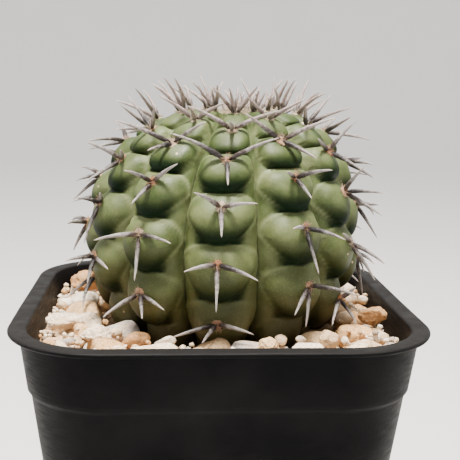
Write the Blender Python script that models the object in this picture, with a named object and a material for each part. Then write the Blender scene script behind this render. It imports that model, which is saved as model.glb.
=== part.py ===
"""A round, ribbed cactus with stout grey spines, growing in a square plastic nursery pot.

The pot is filled with potting mix and topped with gravel. Metres, +Z up. The origin is the
centre of the pot's underside, and -Y is the front. The plant has twelve ribs. Along each rib
run knobs called tubercles, and each tubercle carries one pad with three spines.
"""

import math
import random

import bmesh
import bpy
from mathutils import Matrix, Vector
from mathutils.bvhtree import BVHTree

MM = 0.001

# Pot
RIM_WIDTH = 90 * MM
RIM_CORNER = 20.5 * MM
POT_HEIGHT = 80 * MM
LIP_WIDTH = 2.2 * MM
LIP_THICKNESS = 1.1 * MM
WALL = 1.2 * MM
FLOOR = 1.6 * MM
FOOT_HEIGHT = 2.0 * MM
FOOT_WIDTH = 3.0 * MM
COLLAR_DEPTH = 13 * MM
COLLAR_STEP = 0.6 * MM
BASE_WIDTH = 64 * MM
BASE_CORNER = 14 * MM
CORNER_STEPS = 6
SIDE_STEPS = 6
DRAIN_DIAMETER = 5 * MM
DRAIN_SPACING = 34 * MM
DRAIN_SIDES = 12

# Filling
CLEARANCE = 0.3 * MM
GRAVEL_BELOW_RIM = 4.0 * MM
GRAVEL_DEPTH = 7.2 * MM
STEM_ROOM = 0.8 * MM
OPENING_STEPS = 4

# Cactus body, measured at the tops of its ribs
RIB_COUNT = 12
BODY_RADIUS = 32.5 * MM
TOP_RISE = 31 * MM
SHOULDER = 0.78
UNDER_DROP = 33 * MM
EQUATOR_ABOVE_RIM = 15 * MM
BASE_LATITUDE = math.radians(-52)
AXIS_X = 1.6 * MM
LEAN = 0.1
RIB_TURN = math.radians(-3)
RIB_DEPTH_SHARE = 0.12
TUBERCLE_SHARE = 0.22
RIB_SHIFTS = (-2.5, 1.0, 0.5, -1.5, 1.0, 2.0, -1.0, 0.5, 1.5, -1.0, -3.0, -4.0)
RIB_TWISTS = (0.0, -3.0, -1.0, 0.5, -0.5, 1.0, 0.0, -1.0, 0.5, 0.0, 0.5, 0.5)
TWISTED_ROWS = (-2.0, 1.5)
DIMPLE_DEPTH = 2.6 * MM
DIMPLE_RADIUS = 8 * MM

# Rows of tubercles, counted up each rib from the gravel to the crown
APEX_ROW = 7.0
ROW_CLOSING = 1.579
ROW_ANGLE = math.radians(5.2)
ROWS_PER_RIB = 4
RIB_ROW_STEP = 7 / 12
KNOB_TOP = 0.20
KNOB_MIDDLE = -0.20
KNOB_WIDTH = 0.93
CHIN_WIDTH = 0.62
CHIN_SAG = 0.08
CROWN_ROW = 6.2

# Body mesh
ACROSS_RIB = (-1.0, -0.55, 0.0, 0.55)
MESH_ROW_STEP = 0.25

# Spines
PAD_RADIUS = 1.5 * MM
PAD_HEIGHT = 1.1 * MM
PAD_TOP_SHARE = 0.6
SIDE_LENGTH = 10.0 * MM
DOWN_LENGTH = 8.5 * MM
SPINE_RADIUS = 0.62 * MM
TIP_RADIUS = 0.12 * MM
SPINE_STATIONS = (0.3, 0.65, 1.0)
CROWN_RADIUS = 3.9 * MM
CROWN_HEIGHT = 1.4 * MM
CROWN_SPINES = 8
CROWN_SPINE_LENGTH = 8.0 * MM

# Spines of the pads at the front, by rib and by row from the gravel up, each with its
# reach to the right, upwards and forwards in mm, as seen from the front
FRONT_SPINES = {
    (0, 3): ((-10.0, 7.0, 1.0), (9.5, 6.0, 2.0), (0.0, -3.5, 6.0)),
    (0, 2): ((-5.0, 4.5, 5.0), (6.5, 2.5, 4.5), (0.0, -4.5, 5.0)),
    (0, 1): ((-6.5, 1.0, 5.5), (7.5, -0.5, 6.0), (-0.5, -7.5, 5.5)),
    (0, 0): ((-8.5, -1.0, 3.5), (6.5, 0.5, 5.5), (-3.0, -1.5, 5.5)),
    (1, 3): ((-8.0, 6.0, 2.0), (10.0, 6.5, 1.5), (6.5, -2.0, 6.0)),
    (1, 2): ((-2.5, 2.5, 5.0), (6.0, 3.5, 5.0), (2.5, -2.5, 6.0)),
    (1, 1): ((-3.0, 1.5, 5.0), (7.0, 0.0, 6.0), (2.0, -8.0, 5.5)),
    (1, 0): ((-3.5, -4.0, 5.5), (9.0, 0.5, 5.0), (-0.5, -7.0, 4.5)),
    (2, 3): ((-3.5, 3.5, 4.5), (5.0, 7.5, 0.0), (6.5, -2.5, 5.0)),
    (2, 2): ((3.0, 6.0, 4.0), (8.5, 1.0, 1.5), (8.0, -4.0, 2.5)),
    (2, 1): ((-2.5, 3.5, 5.0), (8.0, -3.0, 2.0), (6.0, -7.0, 3.0)),
    (10, 2): ((-7.0, 5.0, 3.0), (0.0, 3.5, 6.5), (-7.5, -4.0, 4.0)),
    (10, 1): ((-4.5, 2.5, 4.5), (0.5, 3.5, 5.5), (-4.0, -7.0, 5.0)),
    (10, 0): ((-6.0, 1.0, 5.0), (3.0, -1.0, 5.0), (-1.5, -4.0, 5.5)),
    (11, 3): ((-11.5, 6.0, 0.5), (6.0, 5.5, 3.0), (-5.0, 0.0, 5.5)),
    (11, 2): ((-5.0, 4.0, 5.0), (4.5, 5.0, 4.5), (-4.0, -3.0, 5.5)),
    (11, 1): ((-8.5, 1.0, 4.5), (6.0, 0.5, 6.0), (-0.5, -8.0, 5.5)),
    (11, 0): ((-7.5, -2.5, 5.0), (4.5, -1.0, 6.0), (0.5, -2.5, 7.0)),
}

# Loose stones lying on the gravel: name, place, size and turn about the vertical
STONES = (
    ("stone_porous_left", (-34.0, -15.0), (8.0, 6.5, 4.6), 20),
    ("stone_tan_left", (-32.0, 21.0), (7.5, 9.5, 5.6), -8),
    ("stone_grey_front_left", (-26.5, -25.5), (7.0, 5.4, 4.2), -35),
    ("stone_flat_front", (-15.0, -36.0), (8.5, 5.0, 2.6), 4),
    ("stone_beige_front", (9.0, -34.0), (4.8, 4.4, 3.8), 0),
    ("stone_pale_front_right", (22.0, -31.5), (4.2, 3.6, 5.0), 15),
    ("stone_round_right", (36.0, -12.0), (5.8, 5.8, 4.6), 40),
)
STONE_ROUGHNESS = 0.08

SEED = 11


def clear_scene():
    for obj in list(bpy.data.objects):
        bpy.data.objects.remove(obj, do_unlink=True)


def material(name, colour, roughness):
    made = bpy.data.materials.new(name)
    made.use_nodes = True
    shader = made.node_tree.nodes["Principled BSDF"]
    shader.inputs["Base Color"].default_value = (*colour, 1.0)
    shader.inputs["Roughness"].default_value = roughness
    shader.inputs["Metallic"].default_value = 0.0
    return made


def object_from(mesh_maker, name, finish, smooth_angle=math.radians(50)):
    """Links a new object whose mesh is the bmesh that mesh_maker fills."""
    mesh = bpy.data.meshes.new(name)
    bm = bmesh.new()
    mesh_maker(bm)
    bmesh.ops.recalc_face_normals(bm, faces=bm.faces)
    bm.to_mesh(mesh)
    bm.free()
    mesh.shade_smooth()
    mesh.set_sharp_from_angle(angle=smooth_angle)
    mesh.materials.append(finish)
    obj = bpy.data.objects.new(name, mesh)
    bpy.context.scene.collection.objects.link(obj)
    return obj


# ---------------------------------------------------------------- pot and filling


def rounded_square(width, corner, z, side_steps=1):
    """Points of a square with round corners, anticlockwise from above."""
    points = []
    reach = width / 2 - corner
    for quarter in range(4):
        turned = Matrix.Rotation(quarter * math.pi / 2, 3, "Z")
        for step in range(CORNER_STEPS + 1):
            angle = step / CORNER_STEPS * math.pi / 2
            x = reach + corner * math.cos(angle)
            y = reach + corner * math.sin(angle)
            points.append(turned @ Vector((x, y, z)))
        for step in range(1, side_steps):
            x = reach - 2 * reach * step / side_steps
            points.append(turned @ Vector((x, width / 2, z)))
    return points


def loft(bm, rings):
    """Bridges rings of equal point counts and caps the first and the last."""
    loops = [[bm.verts.new(p) for p in ring] for ring in rings]
    for lower, upper in zip(loops, loops[1:]):
        for i in range(len(lower)):
            j = (i + 1) % len(lower)
            bm.faces.new((lower[i], lower[j], upper[j], upper[i]))
    bm.faces.new(loops[0][::-1])
    bm.faces.new(loops[-1])


def wall_width(z):
    """Outer width of the pot's wall at height z, without the collar."""
    top_width = RIM_WIDTH - 2 * LIP_WIDTH - 2 * COLLAR_STEP
    return BASE_WIDTH + (top_width - BASE_WIDTH) * z / POT_HEIGHT


def wall_corner(z):
    top_corner = RIM_CORNER - LIP_WIDTH - COLLAR_STEP
    return BASE_CORNER + (top_corner - BASE_CORNER) * z / POT_HEIGHT


def pot_ring(z, outset=0.0):
    """The wall's outline at height z, moved outwards by outset."""
    return rounded_square(wall_width(z) + 2 * outset, wall_corner(z) + outset, z)


def pot_mesh(bm):
    floor_top = FOOT_HEIGHT + FLOOR
    collar_z = POT_HEIGHT - COLLAR_DEPTH
    lip_under = POT_HEIGHT - LIP_THICKNESS
    foot_inner = [Vector((p.x, p.y, 0)) for p in pot_ring(FOOT_HEIGHT, -FOOT_WIDTH)]
    rings = [
        pot_ring(FOOT_HEIGHT, -FOOT_WIDTH),
        foot_inner,
        pot_ring(0),
        pot_ring(collar_z - COLLAR_STEP),
        pot_ring(collar_z, COLLAR_STEP),
        pot_ring(lip_under, COLLAR_STEP),
        rounded_square(RIM_WIDTH, RIM_CORNER, lip_under),
        rounded_square(RIM_WIDTH, RIM_CORNER, POT_HEIGHT),
        pot_ring(POT_HEIGHT, -WALL),
        pot_ring(floor_top, -WALL),
    ]
    loft(bm, rings)


def drain_hole(index, x, y):
    """A cutter for one of the drain holes in the floor."""

    def cylinder(bm):
        bmesh.ops.create_cone(
            bm,
            cap_ends=True,
            segments=DRAIN_SIDES,
            radius1=DRAIN_DIAMETER / 2,
            radius2=DRAIN_DIAMETER / 2,
            depth=4 * (FOOT_HEIGHT + FLOOR),
        )

    cutter = object_from(cylinder, f"drain_cutter_{index}", FINISHES["pot"])
    cutter.location = (x, y, FOOT_HEIGHT)
    cutter.hide_render = True
    cutter.display_type = "WIRE"
    return cutter


def make_pot():
    pot = object_from(pot_mesh, "pot", FINISHES["pot"], math.radians(30))
    half = DRAIN_SPACING / 2
    places = [(0, 0), (half, half), (-half, half), (-half, -half), (half, -half)]
    for index, (x, y) in enumerate(places):
        cut = pot.modifiers.new(f"drain_{index}", "BOOLEAN")
        cut.operation = "DIFFERENCE"
        cut.object = drain_hole(index, x, y)


def fill_ring(z, side_steps=1):
    """Outline of what fills the pot at height z, just clear of the wall."""
    inset = WALL + CLEARANCE
    return rounded_square(wall_width(z) - 2 * inset, wall_corner(z) - inset, z, side_steps)


def gravel_top():
    return POT_HEIGHT - GRAVEL_BELOW_RIM


def soil_top():
    return gravel_top() - GRAVEL_DEPTH


def make_soil():
    bottom = FOOT_HEIGHT + FLOOR + CLEARANCE
    object_from(
        lambda bm: loft(bm, [fill_ring(bottom), fill_ring(soil_top())]),
        "potting_mix",
        FINISHES["soil"],
    )


def gravel_mesh(bm):
    """A slab with a round opening that follows the cactus standing in it."""
    low, high = soil_top() + CLEARANCE, gravel_top()
    rings = [fill_ring(low, SIDE_STEPS), fill_ring(high, SIDE_STEPS)]
    turns = [math.atan2(p.y, p.x) for p in rings[1]]
    for level in range(OPENING_STEPS + 1):
        z = high + (low - high) * level / OPENING_STEPS
        reach = stem_radius(z) + STEM_ROOM
        ring = [(axis_x(z) + reach * math.cos(a), reach * math.sin(a), z) for a in turns]
        rings.append([Vector(p) for p in ring])
    loops = [[bm.verts.new(p) for p in ring] for ring in rings]
    for here, there in zip(loops, loops[1:] + loops[:1]):
        for i in range(len(here)):
            j = (i + 1) % len(here)
            bm.faces.new((here[i], here[j], there[j], there[i]))


def make_stones():
    rng = random.Random(SEED)
    for name, place, size, turn in STONES:

        def stone(bm, size=size):
            bmesh.ops.create_icosphere(bm, subdivisions=2, radius=0.5)
            for v in bm.verts:
                v.co *= 1 + rng.uniform(-STONE_ROUGHNESS, STONE_ROUGHNESS)
                v.co = Vector(c * s * MM for c, s in zip(v.co, size))
                v.co.z = max(v.co.z, -0.42 * size[2] * MM)

        obj = object_from(stone, name, FINISHES["stone"])
        rest = gravel_top() + CLEARANCE + 0.42 * size[2] * MM
        obj.location = (place[0] * MM, place[1] * MM, rest)
        obj.rotation_euler.z = math.radians(turn)


# ---------------------------------------------------------------- cactus body


def equator_z():
    return POT_HEIGHT + EQUATOR_ABOVE_RIM


def base_z():
    return soil_top() + CLEARANCE


def axis_x(z):
    """The plant stands right of the middle, and its upper half leans further right."""
    height = max(z - equator_z(), 0)
    return AXIS_X + LEAN * height * height / TOP_RISE


def stem_radius(z):
    """Radius over the ribs at height z, below the equator."""
    sine = min(1.0, (equator_z() - z) / UNDER_DROP)
    return BODY_RADIUS * math.sqrt(1 - sine * sine)


def latitude(row):
    return math.pi / 2 - ROW_ANGLE * max(APEX_ROW - row, 0) ** ROW_CLOSING


def row_at(angle):
    return APEX_ROW - ((math.pi / 2 - angle) / ROW_ANGLE) ** (1 / ROW_CLOSING)


def row_spacing(row):
    """Length of one row along the rib."""
    slope = ROW_ANGLE * ROW_CLOSING * max(APEX_ROW - row, 0) ** (ROW_CLOSING - 1)
    return BODY_RADIUS * slope


def rib_azimuth(rib, row):
    """Angle of a rib's ridge from the front, positive to the right."""
    turned = min(max(row - 2, TWISTED_ROWS[0]), TWISTED_ROWS[1])
    place = rib % RIB_COUNT
    shift = math.radians(RIB_SHIFTS[place] + RIB_TWISTS[place] * turned)
    return RIB_TURN + rib * 2 * math.pi / RIB_COUNT + shift


def azimuth(rib, across, row):
    """Azimuth at across, which runs from -1 to 1 between a rib's two furrows."""
    ridge = rib_azimuth(rib, row)
    neighbour = rib_azimuth(rib + 1 if across > 0 else rib - 1, row)
    return ridge + abs(across) * (neighbour - ridge) / 2


def profile(angle):
    """Radius and height of the smooth body at a latitude, and its outward slope.

    The upper half is a little squarer than an ellipse, so the plant has broad shoulders.
    """
    rise, power = (TOP_RISE, SHOULDER) if angle > 0 else (UNDER_DROP, 1.0)
    radius = BODY_RADIUS * math.cos(angle) ** power
    run = power * radius * math.sin(angle) / math.cos(angle)
    slope = Vector((rise * math.cos(angle), run)).normalized()
    return radius, rise * math.sin(angle), slope


def smooth_point(angle, turn, out, sag=0.0):
    """A point out from the smooth body, and its normal. Sag moves it down along the rib."""
    radius, z, slope = profile(angle)
    radius += out * slope.x + sag * slope.y
    z += out * slope.y - sag * slope.x + equator_z()
    z -= DIMPLE_DEPTH * math.exp(-((radius / DIMPLE_RADIUS) ** 2))
    ring = Vector((math.sin(turn), -math.cos(turn), 0))
    normal = ring * slope.x + Vector((0, 0, slope.y))
    return ring * radius + Vector((axis_x(z), 0, z)), normal


def first_row(rib):
    """Rib by rib, the pads climb in a spiral."""
    return (rib * RIB_ROW_STEP) % 1.0


def along_knob(rib, row):
    """Place on a tubercle: 1 at its top, 0 at its middle and -1 where the next one begins."""
    place = row - first_row(rib)
    offset = place - math.ceil(place - KNOB_TOP) - KNOB_MIDDLE
    upper = KNOB_TOP - KNOB_MIDDLE
    return offset / upper if offset > 0 else offset / (1 - upper)


def knob(rib, across, row):
    """Height of a tubercle: a dome with a broad arch on top and a narrower chin."""
    along = along_knob(rib, row)
    chin = min(max(-along, 0), 1)
    width = KNOB_WIDTH + (CHIN_WIDTH - KNOB_WIDTH) * chin
    edge = abs(along) ** (2.3 if along > 0 else 1.8)
    return max(1 - edge - abs(across / width) ** 2.4, 0) ** 0.62


def crown_fade(row):
    """Falls to 0 at the crown, where the ribs and tubercles run out."""
    return min(max((CROWN_ROW - row) / 0.5, 0), 1)


def relief(rib, across, row):
    """How far the surface lies inside the smooth body."""
    radius = BODY_RADIUS * math.cos(latitude(row))
    arch = max(1 - abs(across) ** 3.0, 0) ** 0.55
    furrow = RIB_DEPTH_SHARE * radius * (1 - arch)
    height = TUBERCLE_SHARE * row_spacing(row)
    return crown_fade(row) * (furrow + height * (1 - knob(rib, across, row)))


def body_point(rib, across, row):
    sag = CHIN_SAG * row_spacing(row) * knob(rib, across, row) * crown_fade(row)
    out = -relief(rib, across, row)
    return smooth_point(latitude(row), azimuth(rib, across, row), out, sag)


def body_mesh(bm):
    base_row = row_at(BASE_LATITUDE)
    row_count = int((CROWN_ROW - base_row) / MESH_ROW_STEP)
    rings = []
    for step in range(row_count + 1):
        row = base_row + (CROWN_ROW - base_row) * step / row_count
        ring = []
        for rib in range(RIB_COUNT):
            for across in ACROSS_RIB:
                ring.append(body_point(rib, across, row)[0])
        if step == 0:
            ring = [Vector((p.x, p.y, base_z())) for p in ring]
        rings.append(ring)
    loft(bm, rings)


# ---------------------------------------------------------------- spines


def hexagon(radius, z):
    turns = [i * math.pi / 3 for i in range(6)]
    return [Vector((radius * math.cos(a), radius * math.sin(a), z)) for a in turns]


def side_towards(sides, direction):
    """The side face of a pad, not yet drawn out, that looks most nearly in a direction."""
    left = [f for f in sides if f.is_valid]
    return max(left, key=lambda f: f.normal.dot(direction))


def pad_sides(bm):
    bmesh.ops.recalc_face_normals(bm, faces=bm.faces)
    return [f for f in bm.faces if len(f.verts) == 4]


def grow_spine(bm, face, direction, length, droop, radius):
    """Draws a curved, tapering spine out of one face of a pad."""
    origin = face.calc_center_median()
    heading = face.normal.copy()
    for station in SPINE_STATIONS:
        aim = (direction + droop * station).normalized()
        centre = origin + aim * length * station
        taper = radius + (TIP_RADIUS - radius) * (station**1.5)
        moved = bmesh.ops.extrude_discrete_faces(bm, faces=[face])["faces"][0]
        middle = moved.calc_center_median()
        turn = heading.rotation_difference(aim)
        for v in moved.verts:
            arm = turn @ (v.co - middle)
            v.co = centre + arm.normalized() * taper
        face, heading = moved, aim


def cluster_spines(row, rng):
    """The three spines of one pad: (face, direction, length, droop) in the pad's own axes.

    The pad's axes are x along the row to the right, y up the rib and z out of the plant.
    """
    lift = 0.42 + 0.09 * min(row, 4)
    growth = 1.0 if row > 0.3 else 0.75
    spines = []
    for side in (1, -1):
        direction = Vector((side, -0.10 + rng.uniform(-0.12, 0.12), lift))
        droop = Vector((0, -0.25, -0.10))
        length = SIDE_LENGTH * growth * rng.uniform(0.86, 1.05)
        spines.append((Vector((side, 0.4, 0)), direction, length, droop))
    fall = -0.9 if row > 0.3 else 0.05
    direction = Vector((rng.uniform(-0.14, 0.14), fall, 0.80))
    length = DOWN_LENGTH * growth * rng.uniform(0.9, 1.05)
    spines.append((Vector((0, -1, 0)), direction, length, Vector((0, -0.25, 0))))
    return spines


def front_spines(reaches, axes):
    """The same for a pad at the front, whose spines are set by hand."""
    spines = []
    for right, up, forward in reaches:
        reach = Vector((right, -forward, up)) * MM
        local = Vector([reach.dot(axis) for axis in axes])
        start = Vector((local.x, local.y, 0))
        spines.append((start, local.normalized(), local.length, Vector((0, -0.14, 0))))
    return spines


def seat_height(skin, origin, axes):
    """How far out of a pad's own plane the body's skin reaches under the pad."""
    normal = axes[2]
    highest = 0.0
    for ring in (0.0, 0.5, 1.0, 1.15):
        for p in hexagon(PAD_RADIUS * ring, 0):
            start = origin + axes[0] * p.x + axes[1] * p.y + normal * 5 * PAD_RADIUS
            hit = skin.ray_cast(start, -normal, 10 * PAD_RADIUS)[0]
            if hit is not None:
                highest = max(highest, (hit - origin).dot(normal))
    return highest


def make_cluster(rib, index, skin, rng):
    row = first_row(rib) + index
    origin, normal = body_point(rib, 0.0, row)
    above = body_point(rib, 0.0, row + 0.05)[0]
    up = (above - origin).cross(normal).cross(normal) * -1
    up.normalize()
    axes = (up.cross(normal), up, normal)
    seat = seat_height(skin, origin, axes) + CLEARANCE
    spines = cluster_spines(row, rng)
    if (rib, index) in FRONT_SPINES:
        spines = front_spines(FRONT_SPINES[rib, index], axes)

    def cluster(bm):
        loft(bm, [hexagon(PAD_RADIUS, 0), hexagon(PAD_RADIUS * PAD_TOP_SHARE, PAD_HEIGHT)])
        sides = pad_sides(bm)
        for start, direction, length, droop in spines:
            face = side_towards(sides, start)
            grow_spine(bm, face, direction, length, droop, SPINE_RADIUS)

    obj = object_from(cluster, f"spines_rib{rib + 1:02d}_row{index + 1}", FINISHES["spine"])
    frame = Matrix((axes[0], axes[1], axes[2])).transposed().to_4x4()
    frame.translation = origin + normal * seat
    obj.matrix_world = frame


def make_crown(skin):
    """The woolly centre of the plant, with its young upright spines."""
    top = smooth_point(latitude(CROWN_ROW), 0.0, 0.0)[0].z
    place = Vector((axis_x(top), 0, top))
    hit = skin.ray_cast(place + Vector((0, 0, BODY_RADIUS)), Vector((0, 0, -1)))[0]

    def ring(radius, z):
        turns = [2 * math.pi * i / CROWN_SPINES for i in range(CROWN_SPINES)]
        return [Vector((radius * math.cos(a), radius * math.sin(a), z)) for a in turns]

    def crown(bm):
        loft(bm, [ring(CROWN_RADIUS, 0), ring(CROWN_RADIUS * 0.6, CROWN_HEIGHT)])
        sides = pad_sides(bm)
        for i in range(CROWN_SPINES):
            angle = 2 * math.pi * (i + 0.5) / CROWN_SPINES
            outward = Vector((math.cos(angle), math.sin(angle), 0))
            aim = outward + Vector((0, 0, 0.9 + 0.6 * (i % 2)))
            face = side_towards(sides, outward)
            grow_spine(bm, face, aim, CROWN_SPINE_LENGTH, outward * 0.2, SPINE_RADIUS)

    obj = object_from(crown, "crown_wool_and_spines", FINISHES["wool"])
    obj.location = (place.x, place.y, hit.z + CLEARANCE)


def make_cactus():
    body = object_from(body_mesh, "cactus_body", FINISHES["cactus"])
    bm = bmesh.new()
    bm.from_mesh(body.data)
    skin = BVHTree.FromBMesh(bm)
    bm.free()
    rng = random.Random(SEED)
    for rib in range(RIB_COUNT):
        for index in range(ROWS_PER_RIB):
            make_cluster(rib, index, skin, rng)
    make_crown(skin)


clear_scene()
FINISHES = {
    "pot": material("black_plastic", (0.02, 0.02, 0.022), 0.42),
    "soil": material("potting_mix", (0.09, 0.06, 0.04), 0.95),
    "gravel": material("gravel", (0.55, 0.42, 0.28), 0.9),
    "stone": material("stone", (0.72, 0.64, 0.52), 0.85),
    "cactus": material("cactus_skin", (0.20, 0.30, 0.12), 0.5),
    "spine": material("spine", (0.42, 0.36, 0.34), 0.6),
    "wool": material("wool", (0.70, 0.62, 0.48), 0.9),
}
make_pot()
make_soil()
object_from(gravel_mesh, "gravel_bed", FINISHES["gravel"], math.radians(30))
make_stones()
make_cactus()
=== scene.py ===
"""The looks of the potted round cactus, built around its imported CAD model.

Metres, +Z up, -Y is the front. The skin, spines, wool, stones and pot are made finely here
from the same rules as the CAD solids, and each stands for its own CAD nodes.
"""

import math
import random

import bmesh
import bpy
import numpy as np
from mathutils import Matrix, Vector, noise


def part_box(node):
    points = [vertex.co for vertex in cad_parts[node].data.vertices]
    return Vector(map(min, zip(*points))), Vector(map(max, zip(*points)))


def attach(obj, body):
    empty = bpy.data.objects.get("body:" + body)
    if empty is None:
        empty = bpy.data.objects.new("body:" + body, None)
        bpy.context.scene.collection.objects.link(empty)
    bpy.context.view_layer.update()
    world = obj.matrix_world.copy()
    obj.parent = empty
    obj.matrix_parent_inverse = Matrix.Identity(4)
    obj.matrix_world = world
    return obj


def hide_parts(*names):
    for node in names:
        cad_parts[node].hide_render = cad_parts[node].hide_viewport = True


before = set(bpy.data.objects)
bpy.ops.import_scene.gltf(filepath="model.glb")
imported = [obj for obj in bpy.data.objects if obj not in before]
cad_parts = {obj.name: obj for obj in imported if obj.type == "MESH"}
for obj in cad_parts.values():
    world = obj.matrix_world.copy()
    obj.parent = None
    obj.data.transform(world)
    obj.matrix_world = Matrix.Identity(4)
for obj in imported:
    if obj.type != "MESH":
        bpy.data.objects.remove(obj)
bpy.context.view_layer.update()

MM = 0.001
SEED = 23

# Places taken from the frame
RIM_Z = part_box("pot")[1].z
RIM_WIDTH = 2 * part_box("pot")[1].x
STEM_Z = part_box("cactus_body")[0].z
GRAVEL_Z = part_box("gravel_bed")[1].z

# Cactus body: the CAD model's, with deeper knobs and chins and a raised band round each
RIB_COUNT = 12
BODY_RADIUS = 32.5 * MM
TOP_RISE = 31 * MM
SHOULDER = 0.78
UNDER_DROP = 33 * MM
EQUATOR_Z = RIM_Z + 15 * MM
BASE_LATITUDE = math.radians(-52)
AXIS_X = 1.6 * MM
LEAN = 0.1
RIB_TURN = math.radians(-3)
RIB_SHIFTS = (-2.5, 1.0, 0.5, -1.5, 1.0, 2.0, -1.0, 0.5, 1.5, -1.0, -3.0, -4.0)
RIB_DEPTH_SHARE = 0.12
RIB_POWER = 3.0
RIB_ROUNDNESS = 0.55
KNOB_SHARE = 0.23
HORSESHOE_SHARE = 0.20

# Rows of knobs count from 0 near the gravel to APEX_ROW at the top, where they close up
APEX_ROW = 7.0
ROW_CLOSING = 1.579
ROW_ANGLE = math.radians(5.2)
RIB_ROW_STEP = 7 / 12
KNOB_TOP = 0.20
KNOB_MIDDLE = -0.20
KNOB_WIDTH = 0.93
CHIN_WIDTH = 0.62
CHIN_SAG = 0.13
ABOVE_POWER = 2.3
BELOW_POWER = 1.8
SIDE_POWER = 2.4
KNOB_ROUNDNESS = 0.62
HORSESHOE_REACH = 1.16
CAD_ROWS = 4
FLAT_ROW = 6.7
RIB_TWISTS = (0.0, -3.0, -1.0, 0.5, -0.5, 1.0, 0.0, -1.0, 0.5, 0.0, 0.5, 0.5)
TWISTED_ROWS = (-2.0, 1.5)
DIMPLE_DEPTH = 2.6 * MM
DIMPLE_RADIUS = 8 * MM

SKIN_COLUMNS = 26
SKIN_ROWS = 250

# Spines and wool
SIDE_LENGTH = 10.2 * MM
DOWN_LENGTH = 9.2 * MM
SPINE_RADIUS = 0.64 * MM
SPINE_SIDES = 10
SPINE_RINGS = 16
FOOT_SPREAD = np.array((1.0, 1.0, 0.3)) * 0.55 * MM
PAD_SIZE = np.array((1.05, 1.2, 0.40)) * MM
HAIRS_PER_PAD = 110
HAIR_LENGTH = 0.75 * MM
HAIR_RADIUS = 0.028 * MM
TOP_ROW = 6.1
UPRIGHT_ROW = 3.7
CROWN_WOOL_SIZE = (3.0 * MM, 3.0 * MM, 1.3 * MM)
CROWN_HAIRS = 700
CROWN_HAIR_LENGTH = 1.5 * MM

# How long the spines are for their row on the plant
GROWTH_ROWS = (0, 0.3, 3.8, 4.8, 5.5, 6.1)
GROWTH = (0.75, 1.0, 1.1, 1.05, 0.7, 0.4)

# Spines of the pads at the front, by rib and by row from the gravel up, each with its
# reach to the right, upwards and forwards in mm, as seen from the front. A scratch program
# worked out most of them from feet and tips read off the photograph. Many were changed
# afterwards.
FRONT_SPINES = {
    (0, 4): ((-8.5, 6.0, 1.0), (9.0, 5.5, 1.5), (-1.0, 3.0, 7.0)),
    (0, 3): ((-10.0, 7.0, 1.0), (9.5, 6.0, 2.0), (0.0, -3.5, 6.0)),
    (0, 2): ((-5.0, 4.5, 5.0), (6.5, 2.5, 4.5), (0.0, -4.5, 5.0)),
    (0, 1): ((-6.5, 1.0, 5.5), (7.5, -0.5, 6.0), (-0.5, -7.5, 5.5)),
    (0, 0): ((-8.5, -1.0, 3.5), (6.5, 0.5, 5.5), (-3.0, -1.5, 5.5)),
    (1, 4): ((-5.0, 5.0, 1.5), (7.0, 5.0, 1.0), (1.0, 3.0, 6.0)),
    (1, 3): ((-8.0, 6.0, 2.0), (10.0, 6.5, 1.5), (6.5, -2.0, 6.0)),
    (1, 2): ((-2.5, 2.5, 5.0), (6.0, 3.5, 5.0), (2.5, -2.5, 6.0)),
    (1, 1): ((-3.0, 1.5, 5.0), (7.0, 0.0, 6.0), (2.0, -8.0, 5.5)),
    (1, 0): ((-3.5, -4.0, 5.5), (9.0, 0.5, 5.0), (-0.5, -7.0, 4.5)),
    (2, 3): ((-3.5, 3.5, 4.5), (5.0, 7.5, 0.0), (6.5, -2.5, 5.0)),
    (2, 2): ((3.0, 6.0, 4.0), (8.5, 1.0, 1.5), (8.0, -4.0, 2.5)),
    (2, 1): ((-2.5, 3.5, 5.0), (8.0, -3.0, 2.0), (6.0, -7.0, 3.0)),
    (10, 2): ((-7.0, 5.0, 3.0), (0.0, 3.5, 6.5), (-7.5, -4.0, 4.0)),
    (10, 1): ((-4.5, 2.5, 4.5), (0.5, 3.5, 5.5), (-4.0, -7.0, 5.0)),
    (10, 0): ((-6.0, 1.0, 5.0), (3.0, -1.0, 5.0), (-1.5, -4.0, 5.5)),
    (11, 4): ((-6.5, 6.0, 1.0), (5.5, 4.5, 2.5), (-1.0, 3.5, 6.0)),
    (11, 3): ((-11.5, 6.0, 0.5), (6.0, 5.5, 3.0), (-5.0, 0.0, 5.5)),
    (11, 2): ((-5.0, 4.0, 5.0), (4.5, 5.0, 4.5), (-4.0, -3.0, 5.5)),
    (11, 1): ((-8.5, 1.0, 4.5), (6.0, 0.5, 6.0), (-0.5, -8.0, 5.5)),
    (11, 0): ((-7.5, -2.5, 5.0), (4.5, -1.0, 6.0), (0.5, -2.5, 7.0)),
}

# Pot, as in the CAD model
RIM_CORNER = 20.5 * MM
LIP_WIDTH = 2.2 * MM
LIP_THICKNESS = 1.1 * MM
WALL = 1.2 * MM
FLOOR = 1.6 * MM
FOOT_HEIGHT = 2.0 * MM
FOOT_WIDTH = 3.0 * MM
COLLAR_DEPTH = 13 * MM
COLLAR_STEP = 0.6 * MM
BASE_WIDTH = 64 * MM
BASE_CORNER = 14 * MM
DRAIN_RADIUS = 2.5 * MM
DRAIN_OFFSET = 17 * MM
CORNER_STEPS = 20
SIDE_STEPS = 10

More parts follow.
